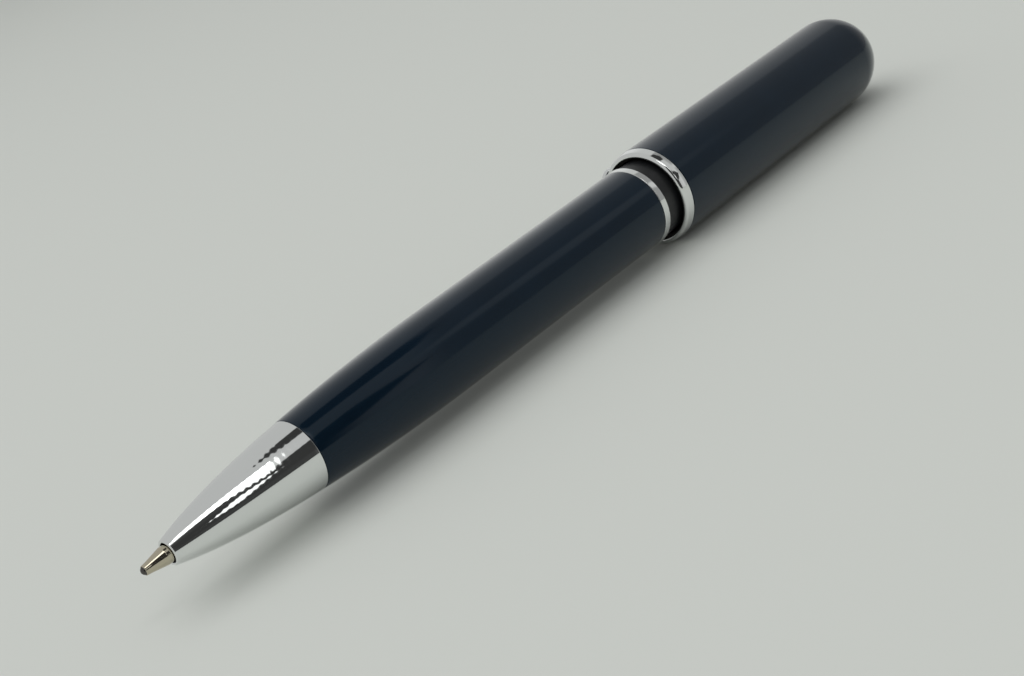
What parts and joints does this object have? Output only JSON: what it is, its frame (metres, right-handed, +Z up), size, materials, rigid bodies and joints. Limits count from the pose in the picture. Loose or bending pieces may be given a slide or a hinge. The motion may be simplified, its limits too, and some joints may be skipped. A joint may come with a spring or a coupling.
{
  "type": "ballpoint pen",
  "caption": "Stout twist-action metal ballpoint pen with a bullet nose, black centre sleeve between bright rings, domed upper barrel, pocket clip and refill.",
  "frame": {"origin": "on the surface the pen lies on, under the middle line of the upper barrel, 100 mm behind the writing tip", "axes": "+X along the pen's axis from the writing tip to the domed end, +Z up from the surface, +Y to the side that carries the pocket clip"},
  "size_m": [0.1411, 0.0159, 0.0136],
  "materials": {
    "navy_lacquer": "very dark navy gloss lacquer over brass tube, polished",
    "bright_chrome": "mirror-bright chrome plating on turned brass",
    "nickel_silver": "turned nickel silver, slightly warm, fine turning marks",
    "carbide": "ground tungsten carbide ball, wet with ink",
    "turned_brass": "plain turned brass",
    "blackened_brass": "brass tube blackened in a bath, satin",
    "drawn_steel": "drawn tube, satin",
    "spring_steel": "bright spring wire",
    "black_plastic": "black moulded plastic, satin",
    "white_plastic": "natural acetal, moulded",
    "seal_rubber": "black nitrile rubber",
    "ink": "blue writing paste"
  },
  "bodies": {
    "lower_pen": {"lower_barrel": "navy_lacquer", "front_bush": "turned_brass", "rear_bush": "turned_brass", "barrel_liner": "white_plastic", "lower_trim_ring": "bright_chrome", "mechanism_body": "turned_brass", "centre_sleeve": "black_plastic", "friction_ring": "seal_rubber", "retaining_ring": "spring_steel", "return_spring": "spring_steel"},
    "nose": {"nose_cone": "bright_chrome"},
    "refill": {"refill_point": "nickel_silver", "refill_neck": "turned_brass", "refill_tube": "drawn_steel", "refill_end_plug": "white_plastic", "ink_column": "ink", "plunger": "white_plastic", "cam_pin": "spring_steel"},
    "ball": {"writing_ball": "carbide"},
    "upper_pen": {"upper_barrel": "navy_lacquer", "upper_lining": "blackened_brass", "centre_band": "bright_chrome", "clip_anchor": "turned_brass", "cam_sleeve": "white_plastic"},
    "clip": {"pocket_clip": "bright_chrome"}
  },
  "joints": [
    {"name": "twist", "type": "hinge", "parent": "lower_pen", "child": "upper_pen", "pos_m": [0, 0, 0.0068], "axis": [1, 0, 0], "range_deg": [0, 150]},
    {"name": "refill_travel", "type": "slide", "parent": "lower_pen", "child": "refill", "axis": [1, 0, 0], "range_m": [0, 0.0055], "deforming": ["return_spring"]},
    {"name": "ball_roll", "type": "hinge", "parent": "refill", "child": "ball", "pos_m": [-0.0995, 0, 0.0068], "axis": [0, 1, 0], "continuous": true},
    {"name": "nose_cone_off", "type": "slide", "parent": "lower_pen", "child": "nose", "axis": [-1, 0, 0], "range_m": [0, 0.03]},
    {"name": "clip_flex", "type": "hinge", "parent": "upper_pen", "child": "clip", "pos_m": [0.0283, 0.00641, 0.00793], "axis": [0, 0.1736, -0.9848], "range_deg": [0, 3], "stiffness_Nm_per_rad": 1}
  ],
  "couplings": [
    {"joint": "refill_travel", "follows": "twist", "m_per_rad": 0.0021008}
  ]
}
